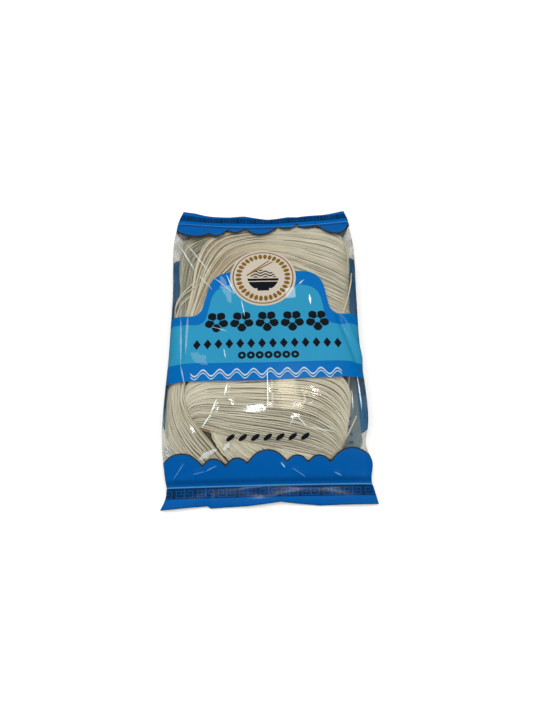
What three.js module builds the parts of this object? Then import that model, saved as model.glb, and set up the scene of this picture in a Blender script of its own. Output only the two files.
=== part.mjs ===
// A clear film pillow bag of fine dried wheat noodles, lying on its back with the printed front up.
// The bag is one closed solid: a lofted tube round the bundle of noodles, fullest over the folded end of
// the skein, which runs out at both ends into a flat heat-sealed band. Both seals are pulled in at the
// middle; the near one droops to the table and the far one stays up, with its corners reaching furthest.
// Millimetres, +Z up, +Y towards the far seal, +X to the right.
import * as THREE from "three";

// Driving dimensions of the filled bag
const LENGTH = 262; // between the outermost corners of the two seals
const THICKNESS = 31; // from the table to the highest point of the front
const SEAL_THICKNESS = 0.9; // both layers of a seal, drawn thick enough to be a solid
const FOLD_HEIGHT = 13; // where front and back meet along the filled sides

// The two ends. Each value is given at the middle of the bag and at its left and right sides.
const NEAR = {
  line: { middle: -113, left: -113.5, right: -113.5 }, // where the seal begins
  edge: { middle: -125.5, left: -128.5, right: -128.5 }, // where it ends
  lineHeight: { middle: 4.6, left: 4.2, right: 4.2 },
  edgeHeight: { middle: 2.2, left: 1.2, right: 1.2 },
  run: 60, // the front needs this much length to reach its full height
  fullness: 1.35, // how round that rise is
  backRun: 22, // the back reaches the table within this length
  foldRun: 34,
};
const FAR = {
  line: { middle: 111, left: 120, right: 118 },
  edge: { middle: 124, left: 134.5, right: 131 },
  lineHeight: { middle: 11.5, left: 8, right: 8 },
  edgeHeight: { middle: 7, left: 5, right: 4.5 },
  run: 66,
  fullness: 2.9,
  backRun: 34,
  foldRun: 36,
};

// Outline of the two sides from above: how far each reaches out, along the bag
const LEFT_SIDE = [
  [-128.5, 76.8], [-118, 72.4], [-103, 75], [-82, 76.6], [-58, 77], [0, 75.5], [40, 75.4],
  [84, 77.6], [106, 77], [120, 75.5], [134, 71.8],
];
const RIGHT_SIDE = [
  [-128.5, 79.2], [-112, 75.8], [-98, 77.4], [-87, 72.2], [-72, 75.6], [-55, 76.5], [-8, 75.4],
  [30, 76.6], [80, 78.8], [106, 78.2], [134, 76.6],
];

// Form of the film between the sides
const BODY_SQUARENESS = 6; // exponent across the filled body
const BODY_ROUNDING = 0.58; // below 1 the sides are rounded
const SEAL_SQUARENESS = 30; // a seal keeps its thickness almost to its side
const OPENING = 10; // length over which a flat seal opens into the body
const SIDE_SHARE = 2; // exponent by which middle values turn into side values
const DROOP = 1.5; // exponent by which a seal bends down towards its edge
const BACK_SINK = 1.2; // the rounded back is cut off level by this where it rests

// Lasting relief
const SKEIN = { height: 1.4, x: 10, y: -48, spreadX: 46, spreadY: 40 }; // the folded end of the noodles
const HOLLOW = { height: -2.2, x: -50, y: 78, spreadX: 20, spreadY: 26 }; // a corner with fewer noodles
const WAIST = { height: -0.7, x: -20, y: 20, spreadX: 60, spreadY: 18 }; // between arch and folded end
const CREASES = [
  { from: [-66, 98], to: [-30, 40], depth: 0.9, width: 3.4 }, // pulled tight from the far left corner
  { from: [-57, 97], to: [-20, 48], depth: 0.7, width: 3 },
  { from: [58, 24], to: [74, -30], depth: 1.1, width: 4 }, // folded over on the right
  { from: [-62, 12], to: [-68, -40], depth: 0.7, width: 3.6 },
];
const CREASE_FADE = 0.3; // share of a crease's length over which each of its ends fades out
const NEAR_WAVE = { height: 0.9, count: 2.3, start: 0.6 }; // ripples along the outer edge of each seal
const FAR_WAVE = { height: 1.2, count: 2.6, start: 2 };

// Mesh density
const COLUMNS = 40;
const SEAL_ROWS = 4;
const BODY_ROWS = 44;
const ROW_CROWDING = 0.55; // how much closer the rows stand near the seals
const COLUMN_CROWDING = 0.6; // and the columns near the sides
const OUTLINE_SAMPLES = 16; // for each point of a side's outline

const TABLE = 0;

const clamp01 = (value) => Math.min(1, Math.max(0, value));
const mix = (from, to, share) => from + (to - from) * share;
const smooth = (value) => {
  const share = clamp01(value);
  return share * share * (3 - 2 * share);
};

// A smooth curve through an outline's points, as a lookup of reach along the bag.
function outline(points) {
  const curve = new THREE.SplineCurve(points.map(([along, reach]) => new THREE.Vector2(along, reach)));
  const samples = curve.getPoints(points.length * OUTLINE_SAMPLES);
  return (along) => {
    const next = samples.findIndex((point) => point.x >= along);
    if (next < 0) return samples[samples.length - 1].y;
    if (next === 0) return samples[0].y;
    const [before, after] = [samples[next - 1], samples[next]];
    return mix(before.y, after.y, (along - before.x) / (after.x - before.x));
  };
}
const leftReach = outline(LEFT_SIDE);
const rightReach = outline(RIGHT_SIDE);

const mound = (x, y, { height, x: cx, y: cy, spreadX, spreadY }) =>
  height * Math.exp(-(((x - cx) / spreadX) ** 2) - ((y - cy) / spreadY) ** 2);

// A crease is a shallow straight groove that fades out at both of its ends.
function groove(x, y, { from, to, depth, width }) {
  const [dx, dy] = [to[0] - from[0], to[1] - from[1]];
  const length = Math.hypot(dx, dy);
  const along = ((x - from[0]) * dx + (y - from[1]) * dy) / length;
  const aside = ((x - from[0]) * dy - (y - from[1]) * dx) / length;
  const fading = CREASE_FADE * length;
  const fade = smooth(along / fading) * smooth((length - along) / fading);
  return -depth * fade * Math.exp(-((aside / width) ** 2));
}

const relief = (x, y) =>
  mound(x, y, SKEIN) +
  mound(x, y, HOLLOW) +
  mound(x, y, WAIST) +
  CREASES.reduce((sum, crease) => sum + groove(x, y, crease), 0);

// Position of a column, from -1 at the left side to 1 at the right.
const across = (column) => {
  const even = (2 * column) / COLUMNS - 1;
  return mix(even, Math.sin((Math.PI / 2) * even), COLUMN_CROWDING);
};
const atSide = (span, u) => mix(span.middle, u < 0 ? span.left : span.right, Math.abs(u) ** SIDE_SHARE);
const sideways = (u, along) => u * (u < 0 ? leftReach(along) : rightReach(along));

// One point of a flat seal; out runs from 0 at its line to 1 at its edge.
// face is 1 on the front, -1 on the back and 0 on the border that both share.
function sealPoint(end, wave, out, u, face) {
  const y = mix(atSide(end.line, u), atSide(end.edge, u), out);
  const ripple = wave.height * out * Math.sin(Math.PI * wave.count * (u + 1) + wave.start);
  const level = mix(atSide(end.lineHeight, u), atSide(end.edgeHeight, u), out ** DROOP) + ripple;
  const lift = (SEAL_THICKNESS / 2) * (1 - Math.abs(u) ** SEAL_SQUARENESS) * face;
  const lowest = TABLE + (SEAL_THICKNESS / 2) * (1 + face);
  return [sideways(u, y), y, Math.max(level + lift, lowest)];
}

// One point of the filled body; along runs from 0 at the near seal line to 1 at the far one.
function bodyPoint(along, u, face) {
  const y = mix(atSide(NEAR.line, u), atSide(FAR.line, u), along);
  const x = sideways(u, y);
  const end = along < 0.5 ? NEAR : FAR;
  const inside = Math.abs(y - atSide(end.line, u)); // distance from the seal line
  const lineHeight = atSide(end.lineHeight, u);
  const open = smooth(inside / OPENING);
  const squareness = mix(SEAL_SQUARENESS, BODY_SQUARENESS, open);
  const plateau = (1 - Math.abs(u) ** squareness) ** mix(1, BODY_ROUNDING, open);
  const fold = mix(lineHeight, FOLD_HEIGHT, smooth(inside / end.foldRun));
  const half = SEAL_THICKNESS / 2;
  if (face > 0) {
    const rise = 1 - (1 - clamp01(inside / end.run)) ** end.fullness;
    const full = THICKNESS - SKEIN.height + relief(x, y);
    return [x, y, mix(fold, mix(lineHeight + half, full, rise), plateau)];
  }
  const sunk = mix(lineHeight - half, TABLE - BACK_SINK, smooth(inside / end.backRun));
  return [x, y, Math.max(TABLE, mix(fold, sunk, plateau))];
}

// The rows of the net, from the near seal's edge to the far seal's edge.
function rows() {
  const made = [];
  for (let i = SEAL_ROWS; i > 0; i--) {
    made.push((u, face) => sealPoint(NEAR, NEAR_WAVE, i / SEAL_ROWS, u, face));
  }
  for (let i = 0; i <= BODY_ROWS; i++) {
    const even = i / BODY_ROWS;
    const along = mix(even, (1 - Math.cos(Math.PI * even)) / 2, ROW_CROWDING);
    made.push((u, face) => bodyPoint(along, u, face));
  }
  for (let i = 1; i <= SEAL_ROWS; i++) {
    made.push((u, face) => sealPoint(FAR, FAR_WAVE, i / SEAL_ROWS, u, face));
  }
  return made;
}

// Front and back share their side edges and outer ends, so the surface is closed.
function bagGeometry() {
  const net = rows();
  const last = net.length - 1;
  const positions = [];
  const add = (point) => positions.push(...point) / 3 - 1;
  const front = [];
  const back = [];
  net.forEach((pointAt, r) => {
    front.push([]);
    back.push([]);
    for (let c = 0; c <= COLUMNS; c++) {
      const u = across(c);
      if (r === 0 || r === last || c === 0 || c === COLUMNS) {
        const shared = add(pointAt(u, r === 0 || r === last ? 0 : 1));
        front[r].push(shared);
        back[r].push(shared);
      } else {
        front[r].push(add(pointAt(u, 1)));
        back[r].push(add(pointAt(u, -1)));
      }
    }
  });
  const index = [];
  for (let r = 0; r < last; r++) {
    for (let c = 0; c < COLUMNS; c++) {
      // Both faces are split along the same diagonal, so a thin seal never crosses itself, and the
      // diagonals run out of the four corners, so no corner is a single folded triangle.
      const rising = r < last / 2 === c < COLUMNS / 2;
      for (const [sheet, turned] of [[front, false], [back, true]]) {
        const [a, b, d, e] = [sheet[r][c], sheet[r][c + 1], sheet[r + 1][c], sheet[r + 1][c + 1]];
        const pair = rising ? [[a, b, e], [a, e, d]] : [[a, b, d], [b, e, d]];
        for (const [i, j, k] of pair) index.push(i, ...(turned ? [k, j] : [j, k]));
      }
    }
  }
  const geometry = new THREE.BufferGeometry();
  geometry.setAttribute("position", new THREE.Float32BufferAttribute(positions, 3));
  geometry.setIndex(index);
  // the origin goes to the middle of the footprint, on the table
  geometry.computeBoundingBox();
  const { min, max } = geometry.boundingBox;
  geometry.translate(-(min.x + max.x) / 2, -(min.y + max.y) / 2, -min.z);
  geometry.scale(1, LENGTH / (max.y - min.y), 1);
  geometry.computeVertexNormals();
  return geometry;
}

const film = new THREE.MeshStandardMaterial({ color: 0xc9c3ae, roughness: 0.25, metalness: 0 });

const bag = new THREE.Mesh(bagGeometry(), film);
bag.name = "bag";

const pack = new THREE.Group();
pack.add(bag);

export default pack;
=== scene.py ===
"""A sealed clear film bag of fine dried wheat noodles, lying on its back with the printed front up.

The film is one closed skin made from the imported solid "bag", with the print on it as inks whose edges
are kept on the skin in millimetres. Inside lie the noodles: a dark bed, and on it families of single
strands that follow a few guide lines, as the skein loops over at the far end, falls down the left side
and is folded round at the near end.

Frame: metres, +Z up, +Y towards the far seal, +X to the right, origin under the middle of the bag.
Sizes in the code are millimetres unless a name says otherwise.
"""

import logging  # noqa: E402
import math  # noqa: E402
from collections.abc import Callable, Iterable  # noqa: E402
from dataclasses import dataclass  # noqa: E402
from enum import Enum  # noqa: E402
from functools import reduce  # noqa: E402
from operator import or_  # noqa: E402

import bpy  # noqa: E402
import numpy as np  # noqa: E402
from mathutils import Matrix, Vector, noise  # noqa: E402
from mathutils.bvhtree import BVHTree  # noqa: E402

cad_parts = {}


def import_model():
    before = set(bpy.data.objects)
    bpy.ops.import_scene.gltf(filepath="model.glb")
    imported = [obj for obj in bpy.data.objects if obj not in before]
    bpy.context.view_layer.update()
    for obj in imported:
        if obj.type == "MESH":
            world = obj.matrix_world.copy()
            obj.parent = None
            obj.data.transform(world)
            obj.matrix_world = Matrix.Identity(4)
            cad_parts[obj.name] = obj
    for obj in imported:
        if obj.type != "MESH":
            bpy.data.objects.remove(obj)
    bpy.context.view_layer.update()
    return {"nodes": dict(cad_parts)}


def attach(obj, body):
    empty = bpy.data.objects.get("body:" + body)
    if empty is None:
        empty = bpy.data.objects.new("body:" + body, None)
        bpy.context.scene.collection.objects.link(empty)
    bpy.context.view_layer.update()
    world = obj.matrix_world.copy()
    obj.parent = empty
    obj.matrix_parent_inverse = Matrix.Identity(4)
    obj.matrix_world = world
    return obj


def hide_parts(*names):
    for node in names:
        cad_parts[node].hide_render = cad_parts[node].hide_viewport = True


MM = 0.001
MM_PER_M = 1000.0
TURN = 2 * math.pi

log = logging.getLogger("noodle_bag")

Point = tuple[float, float]
Place = tuple[float, float, float]
Corners = tuple[tuple[float, float, float], ...]  # x, y and rounding radius of each corner
Patches = tuple[tuple[float, float, float, float], ...]  # x, y, reach and strength of each soft patch


# ---------------------------------------------------------------------------------------------------
# Small helpers
# ---------------------------------------------------------------------------------------------------


def linear(colour: str) -> tuple[float, float, float, float]:
    """Turn an sRGB hex colour into the linear values that Blender works in.

    Args:
        colour: Six hex digits after a hash sign.

    Returns:
        Linear red, green, blue and an alpha of one.
    """
    parts = [int(colour[i : i + 2], 16) / 255 for i in (1, 3, 5)]
    red, green, blue = [p / 12.92 if p <= 0.04045 else ((p + 0.055) / 1.055) ** 2.4 for p in parts]
    return red, green, blue, 1.0


def scale_for(size_mm: float) -> float:
    """Return the texture scale at which a noise has patches of about this size."""
    return 1 / (size_mm * MM)


def new_material(name: str) -> tuple[bpy.types.Material, bpy.types.NodeTree]:
    """Start a material with an empty node tree.

    Args:
        name: The material's name.

    Returns:
        The material and its tree.
    """
    made = bpy.data.materials.new(name)
    made.use_nodes = True
    made.node_tree.nodes.clear()
    return made, made.node_tree


def add_node(
    tree: bpy.types.NodeTree, kind: str, inputs: dict | None = None, **settings: object
) -> bpy.types.Node:
    """Add one shader node with its settings and links.

    Args:
        tree: The node tree of a material.
        kind: The node's type, without the leading "ShaderNode".
        inputs: A value, or an output to link, for each named or numbered input.
        settings: The node's own properties.

    Returns:
        The new node.
    """
    node = tree.nodes.new("ShaderNode" + kind)
    for name, value in settings.items():
        setattr(node, name, value)
    for key, value in (inputs or {}).items():
        if isinstance(value, bpy.types.NodeSocket):
            tree.links.new(value, node.inputs[key])
        else:
            node.inputs[key].default_value = value
    return node


def only(piece: bpy.types.Object) -> None:
    """Select one object alone and make it the active one.

    Args:
        piece: The object.
    """
    bpy.ops.object.select_all(action="DESELECT")
    piece.select_set(True)
    bpy.context.view_layer.objects.active = piece


def link(piece: bpy.types.Object) -> None:
    """Put one object into the scene."""
    bpy.context.scene.collection.objects.link(piece)


def face_outwards(piece: bpy.types.Object) -> None:
    """Turn every face of a closed mesh outwards.

    Args:
        piece: The object with that mesh.
    """
    only(piece)
    bpy.ops.object.mode_set(mode="EDIT")
    bpy.ops.mesh.select_all(action="SELECT")
    bpy.ops.mesh.normals_make_consistent(inside=False)
    bpy.ops.object.mode_set(mode="OBJECT")


def read_points(mesh: bpy.types.Mesh, what: str) -> np.ndarray:
    """Read three numbers for each point of a mesh.

    Args:
        mesh: The mesh.
        what: Its points' property, such as "co" or "normal".

    Returns:
        One row for each point.
    """
    flat = np.zeros(len(mesh.vertices) * 3)
    mesh.vertices.foreach_get(what, flat)
    return flat.reshape(-1, 3)


def points_of(mesh: bpy.types.Mesh) -> np.ndarray:
    """Return a mesh's points in millimetres, one row each."""
    return read_points(mesh, "co") * MM_PER_M


def place_points(mesh: bpy.types.Mesh, points: np.ndarray) -> None:
    """Move a mesh's points to new places given in millimetres."""
    mesh.vertices.foreach_set("co", (points * MM).ravel())
    mesh.update()


def keep_on(mesh: bpy.types.Mesh, name: str, values: np.ndarray) -> None:
    """Keep one number for each point of a mesh under a name that materials can read."""
    stored = mesh.attributes.new(name, "FLOAT", "POINT")
    stored.data.foreach_set("value", values.astype(np.float32))


def ramp(values: np.ndarray, low: float, high: float) -> np.ndarray:
    """Rise smoothly from 0 at low to 1 at high."""
    share = np.clip((values - low) / (high - low), 0, 1)
    return share * share * (3 - 2 * share)


def soft_noise(points: np.ndarray, rates: Place, start: Place = (0, 0, 0)) -> np.ndarray:
    """Read smooth noise at each point.

    Args:
        points: The points in millimetres.
        rates: How fast the noise changes along each axis, for each millimetre.
        start: Where in the noise it begins.

    Returns:
        One number for each point, mostly between -0.6 and 0.6.
    """
    return np.array([noise.noise(Vector(place)) for place in points * np.array(rates) + np.array(start)])


def smooth_line(points: Iterable[Point], count: int, samples: int = 6) -> np.ndarray:
    """Draw an even smooth line through a few points.

    Args:
        points: The points to pass through, in order.
        count: How many points the line gets.
        samples: How many steps it is measured in for each of them.

    Returns:
        One row for each point of the line.
    """
    knots = np.array(points, float)
    padded = np.vstack([2 * knots[0] - knots[1], knots, 2 * knots[-1] - knots[-2]])
    place = np.linspace(0, len(knots) - 1 - 1e-9, count * samples)
    span = place.astype(int)
    t = (place - span)[:, None]
    a, b, c, d = (padded[span + i] for i in range(4))
    line = 0.5 * (2 * b + (c - a) * t + (2 * a - 5 * b + 4 * c - d) * t**2 + (3 * b - a - 3 * c + d) * t**3)
    run = np.concatenate([[0], np.cumsum(np.linalg.norm(np.diff(line, axis=0), axis=1))])
    even = np.linspace(0, run[-1], count)
    return np.stack([np.interp(even, run, line[:, i]) for i in range(line.shape[1])], axis=1)


def rounded(corners: Corners, steps: int = 10) -> np.ndarray:
    """Draw a closed outline whose corners are rounded.

    Args:
        corners: The corners, in order.
        steps: Points in each rounded corner.

    Returns:
        The outline's points, not repeated at the end.
    """
    nearly_straight = math.pi / 2 - 0.02
    outline = []
    for i, (x, y, radius) in enumerate(corners):
        here = np.array([x, y])
        before = np.array(corners[i - 1][:2]) - here
        after = np.array(corners[(i + 1) % len(corners)][:2]) - here
        before, after = before / np.linalg.norm(before), after / np.linalg.norm(after)
        half = math.acos(float(np.clip(before @ after, -1, 1))) / 2
        if radius == 0 or half > nearly_straight:
            outline.append(here)
            continue
        reach = radius / math.tan(half)
        for t in np.linspace(0, 1, steps):
            # a quadratic curve from one side to the other, close enough to the arc
            outline.append(here + before * reach * (1 - t) ** 2 + after * reach * t**2)
    return np.array(outline)


def inside_by(points: np.ndarray, outline: np.ndarray) -> np.ndarray:
    """Measure how far points lie inside a closed outline.

    Args:
        points: Points in plan.
        outline: The outline's points, in order.

    Returns:
        The distance to the outline, positive inside it and negative outside.
    """
    ends = np.roll(outline, -1, axis=0)
    nearest = np.full(len(points), np.inf)
    crossed = np.zeros(len(points), bool)
    for a, b in zip(outline, ends):
        along = b - a
        t = np.clip((points - a) @ along / max(along @ along, 1e-12), 0, 1)
        nearest = np.minimum(nearest, np.linalg.norm(points - a - t[:, None] * along, axis=1))
        if a[1] != b[1]:
            between = (points[:, 1] >= min(a[1], b[1])) & (points[:, 1] < max(a[1], b[1]))
            at = a[0] + (points[:, 1] - a[1]) * along[0] / along[1]
            crossed ^= between & (points[:, 0] < at)
    return np.where(crossed, nearest, -nearest)


class Reading:
    """A number that varies over a surface, with the arithmetic that a print needs."""

    def __init__(self, tree: bpy.types.NodeTree, socket: bpy.types.NodeSocket) -> None:
        """Take over a node's output as a number that can be reckoned with."""
        self.tree = tree
        self.socket = socket

    def step(self, operation: str, *others: "Reading | float") -> "Reading":
        """Add one step of arithmetic.

        Args:
            operation: The name of the Math node's operation.
            others: Its further values.

        Returns:
            The result.
        """
        values = [self.socket] + [o.socket if isinstance(o, Reading) else float(o) for o in others]
        node = add_node(self.tree, "Math", dict(enumerate(values)), operation=operation)
        return Reading(self.tree, node.outputs[0])

    def __add__(self, other: "Reading | float") -> "Reading":
        """Add."""
        return self.step("ADD", other)

    def __sub__(self, other: "Reading | float") -> "Reading":
        """Take away."""
        return self.step("SUBTRACT", other)

    def __mul__(self, other: "Reading | float") -> "Reading":
        """Multiply; of two masks, where both are."""
        return self.step("MULTIPLY", other)

    def __truediv__(self, other: "Reading | float") -> "Reading":
        """Divide."""
        return self.step("DIVIDE", other)

    def __abs__(self) -> "Reading":
        """Drop the sign."""
        return self.step("ABSOLUTE")

    def __or__(self, other: "Reading | float") -> "Reading":
        """Return where either of two masks is."""
        return self.step("MAXIMUM", other)

    def above(self, limit: "Reading | float") -> "Reading":
        """Return a mask of where this is more than a limit."""
        return self.step("GREATER_THAN", limit)

    def below(self, limit: "Reading | float") -> "Reading":
        """Return a mask of where this is less than a limit."""
        return self.step("LESS_THAN", limit)

    def near(self, centre: float, half: float) -> "Reading":
        """Return a mask of where this is within half of a centre."""
        return self.step("COMPARE", centre, half)

    def repeat(self, start: float, pitch: float) -> "Reading":
        """Measure from the middle of each of a row of equal cells."""
        return (self - start).step("FLOORED_MODULO", pitch) - pitch / 2

    def far_from(self, x: float, other: "Reading", y: float) -> "Reading":
        """Return the distance from a point, with this as x and the other reading as y."""
        across, along = self - x, other - y
        return (across * across + along * along).step("SQRT")


# ---------------------------------------------------------------------------------------------------
# Print
# ---------------------------------------------------------------------------------------------------


class Side(Enum):
    """The two printed faces of the film, by their place in the film's material list."""

    FRONT = 0
    BACK = 1


@dataclass(frozen=True)
class Inks:
    """Gravure inks on the inside of the film: saturated, even and nearly opaque."""

    band: str = "#004f95"
    # key is the fret's dark ground, and also the colour of the painted shade beside each seal
    key: str = "#032546"
    fret: str = "#003f7c"
    label: str = "#005b9d"
    arch: str = "#257fa3"
    outline: str = "#2b2a17"
    mark: str = "#101318"
    cream: str = "#aca396"
    wave: str = "#9fb2b8"
    ring: str = "#6b5020"
    panel: str = "#7a9099"
    frame: str = "#1f70ab"
    # painted highlight colours: crease along the creases, band_highlight on the near band's small creases
    crease: str = "#e6eff0"
    # painted highlight along the seal's line
    seal_highlight: str = "#5c9cc8"
    band_highlight: str = "#86c2ea"
    panel_mark: str = "#3b5b86"


@dataclass(frozen=True)
class EndBand:
    """A coloured band across one end, whose inner edge is a row of large and small scallops."""

    cusps: tuple[Point, ...]
    bulges: tuple[float, ...]  # how far each scallop reaches beyond the line between its cusps
    towards: float  # -1 where the scallops point towards the near end, 1 towards the far one
    roundness: float  # above 2 the scallops are blunt and their cusps narrow
    edge: float = 150.0  # beyond the film's end

    def outline(self, steps: int = 12) -> np.ndarray:
        """Draw the band's edge as one closed outline.

        Args:
            steps: Points along each scallop.

        Returns:
            The outline's points.
        """
        line = []
        for (x0, y0), (x1, y1), bulge in zip(self.cusps, self.cusps[1:], self.bulges):
            for t in np.linspace(0, 1, steps, endpoint=False):
                # a flattened arc, so that two scallops meet in a sharp cusp
                rise = bulge * (1 - abs(2 * t - 1) ** self.roundness)
                line.append((x0 + (x1 - x0) * t, y0 + (y1 - y0) * t + self.towards * rise))
        line.append(self.cusps[-1])
        far = -self.towards * self.edge
        line += [(self.cusps[-1][0], far), (self.cusps[0][0], far)]
        return np.array(line)


@dataclass(frozen=True)
class PrintPlan:
    """Where each printed field lies, in plan."""

    near: EndBand = EndBand(
        cusps=((-79, -103), (-47, -102.1), (-30.6, -102.6), (-15, -101), (13.5, -100.2), (28.7, -100.8),
               (44.7, -101), (79, -103)),
        bulges=(8.9, 4.8, 4.6, 8.3, 4.4, 4.5, 10.2),
        towards=1,
        roundness=2.3,
    )
    far: EndBand = EndBand(
        cusps=((-100, 107), (-78, 107.3), (-46.1, 95.4), (-31.1, 101.8), (-15.9, 104), (12.9, 108),
               (29.6, 110.8), (46.5, 110.9), (76, 110.3), (100, 108)),
        bulges=(9, 8.6, 6.8, 6.4, 13.6, 6.4, 6.6, 17.5, 9),
        towards=-1,
        roundness=2.2,
    )
    label: Corners = (
        (-90, 15.6, 0), (-50.9, 9.9, 9), (-40.5, 49.7, 19), (45.2, 49.4, 19), (51.3, 10.2, 10),
        (90, 15.6, 0), (90, -39.2, 0), (40, -42.8, 0), (0, -44.5, 0), (-40, -43.8, 0), (-90, -42.2, 0),
    )
    arch: Corners = (
        (-90, 8, 0), (-46.8, 1.8, 9), (-39.8, 37.2, 17), (42.8, 36.6, 17), (47.6, 1.2, 9), (90, 7, 0),
        (90, -27.2, 0), (40, -29.6, 0), (0, -30.2, 0), (-40, -29.6, 0), (-90, -27.2, 0),
    )
    frame: Corners = ((-77.5, -80, 12), (77.5, -80, 12), (77.5, 80, 12), (-77.5, 80, 12))
    panel: Corners = ((-70, -92, 8), (70, -92, 8), (70, 74, 8), (-70, 74, 8))
    roundel: Point = (-1.0, 44.6)
    falls_from: float = 88.0  # beyond this the film falls away towards the far seal
    fall_share: float = 0.62

    def foreshortened(self, plan: np.ndarray) -> np.ndarray:
        """Shorten the far slope as it is seen from above, so that the scallops' outline keeps its width."""
        beyond = np.maximum(plan[:, 1] - self.falls_from, 0)
        return np.stack([plan[:, 0], plan[:, 1] - self.fall_share * beyond], axis=1)

    def measure(self, plan: np.ndarray) -> dict[str, np.ndarray]:
        """Measure how far points of the film lie inside each field.

        Args:
            plan: The points' x and y.

        Returns:
            One row of distances for each field's name.
        """
        far = inside_by(self.foreshortened(plan), self.foreshortened(self.far.outline()))
        bands = np.maximum(inside_by(plan, self.near.outline()), far)
        names = ("label", "arch", "frame", "panel")
        edges = {f"{name}_edge": inside_by(plan, rounded(getattr(self, name))) for name in names}
        return {"band_edge": bands} | edges


class Artist:
    """Draws the print of one side of the film as layers of ink, with painted highlights and shade over them,
    in the plan's millimetres.
    """

    BAND_FROM = -98.5  # creases that start nearer than this get the near band's bluer painted highlights
    OUTLINE = 0.45  # half the width of the dark line round the end bands
    FRET_WIDTH = 7.2  # across the band, ground and all
    FRET_UNIT = 0.94  # of the grid that its lines follow
    MIDDLE = 1.4  # x of the middle of the label's rows

    def __init__(self, tree: bpy.types.NodeTree, inks: Inks, plan: PrintPlan) -> None:
        """Read the film's own coordinates.

        Args:
            tree: The node tree of the film's material.
            inks: The print's colours.
            plan: The print's fields.
        """
        self.tree = tree
        self.inks = inks
        self.plan = plan
        self.where = add_node(tree, "TexCoord").outputs["Object"]
        split = add_node(tree, "SeparateXYZ", {0: self.where})
        self.x = Reading(tree, split.outputs["X"]) * MM_PER_M
        self.y = Reading(tree, split.outputs["Y"]) * MM_PER_M
        self.colour: bpy.types.NodeSocket | None = None
        self.cover: Reading | None = None

    def kept(self, name: str) -> Reading:
        """Read a number kept on the film."""
        return Reading(self.tree, add_node(self.tree, "Attribute", attribute_name=name).outputs["Fac"])

    def lay(self, mask: Reading, colour: str, cover: float = 1.0) -> None:
        """Lay one ink over what is printed so far.

        Args:
            mask: Where the ink is.
            colour: Its colour.
            cover: How opaque it is.
        """
        if self.colour is None:
            self.colour = add_node(self.tree, "RGB").outputs[0]
            self.colour.default_value = linear(colour)
            self.cover = mask * cover
            return
        self._mix(mask, colour)
        # a thin ink is thin over clear film alone
        self.cover = self.cover | mask * cover

    def _mix(self, share: Reading, colour: str) -> None:
        """Mix a colour into what is printed so far."""
        inputs = {0: share.socket, 6: self.colour, 7: linear(colour)}
        self.colour = add_node(self.tree, "Mix", inputs, data_type="RGBA").outputs[2]

    def veil(self, mask: Reading, colour: str) -> None:
        """Lay a see-through layer over ink and clear film alike.

        Args:
            mask: How opaque it is, from 0 to 1.
            colour: Its colour.
        """
        above_zero = 0.001  # so that bare film without a veil divides by something
        cover = mask + self.cover * (mask * -1 + 1)
        self._mix(mask / (cover + above_zero), colour)
        self.cover = cover

    def bands(self) -> None:
        """Draw the end bands, their scallops' outline and frets, with painted shade and highlight by each
        seal.
        """
        shade_at, shade_half, shade_strength = -3.6, 3.0, 0.5  # painted shade of the dip beside the seal
        highlight_at, highlight_half, highlight_strength = -0.5, 0.4, 0.45  # the painted highlight along the seal's crease
        edge = self.kept("band_edge")
        past = self.kept("past_seal")
        self.lay(edge.above(-self.OUTLINE), self.inks.outline)
        self.lay(edge.above(self.OUTLINE), self.inks.band)
        # painted shade: darker ink over the band in the dip beside the seal
        painted_shade = (abs(past - shade_at) / -shade_half + 1).step("MAXIMUM", 0)
        self.veil(painted_shade * edge.above(self.OUTLINE) * shade_strength, self.inks.key)
        # paint a pale highlight along the seal's line
        self.veil(past.near(highlight_at, highlight_half) * highlight_strength, self.inks.seal_highlight)
        across = past - self.kept("fret_start")
        half = self.FRET_WIDTH / 2
        middle, margin = half - 0.2, 0.6
        self.lay(across.near(middle, half), self.inks.key)
        self.lay(self.fret(across) * across.near(middle, half - margin), self.inks.fret)

    def fret(self, across: Reading) -> Reading:
        """Draw a fret on a grid of small units, in cells that are mirrored from one to the next.

        Args:
            across: The distance across the band.

        Returns:
            The mask of its lines.
        """
        cell, shift = 8, 0.1  # in units
        u = self.x.step("PINGPONG", cell * self.FRET_UNIT) / self.FRET_UNIT
        v = across / self.FRET_UNIT + shift
        bars = (  # left, right, bottom, top in units
            (0.1, 0.8, 0, 7), (0, 6.6, 6.2, 6.9), (5.9, 6.6, 1.4, 6.9), (2, 6.6, 1.4, 2.1),
            (2, 2.7, 1.4, 4.6), (2, 4.7, 3.9, 4.6),
        )
        lines = []
        for left, right, bottom, top in bars:
            upright = v.near((bottom + top) / 2, (top - bottom) / 2)
            lines.append(u.near((left + right) / 2, (right - left) / 2) * upright)
        return reduce(or_, lines)

    def paint_crease_highlights(self, creases: "tuple[Crease, ...]") -> None:
        """Paint a thin pale highlight along each sharp crease of the film, and one broad glint, as fixed
        veils.

        Args:
            creases: The film's creases.
        """
        break_mm, unevenness = 3.85, 2.2  # how often a line thins out, and how much its width varies
        broken = add_node(self.tree, "TexNoise", {"Vector": self.where, "Scale": scale_for(break_mm),
                                                  "Detail": 2.0})
        uneven = Reading(self.tree, broken.outputs["Fac"]) * unevenness
        lines, band_highlights = [], []
        for crease in creases:
            if crease.white == 0:
                continue
            (x, y), (end_x, end_y) = crease.start, crease.end
            length = math.hypot(end_x - x, end_y - y)
            dx, dy = (end_x - x) / length, (end_y - y) / length
            along = (self.x * dx + self.y * dy - (x * dx + y * dy)) / length
            aside = abs(self.x * dy - self.y * dx - (x * dy - y * dx))
            taper = (along * 2 - 1).step("POWER", 2.0) * -1 + 1
            line = aside.below(taper * uneven * crease.line) * crease.white
            (band_highlights if y < self.BAND_FROM else lines).append(line)
        # painted highlights along the near band's small creases, bluer over the dark ink
        self.veil(reduce(or_, band_highlights), self.inks.band_highlight)
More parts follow.
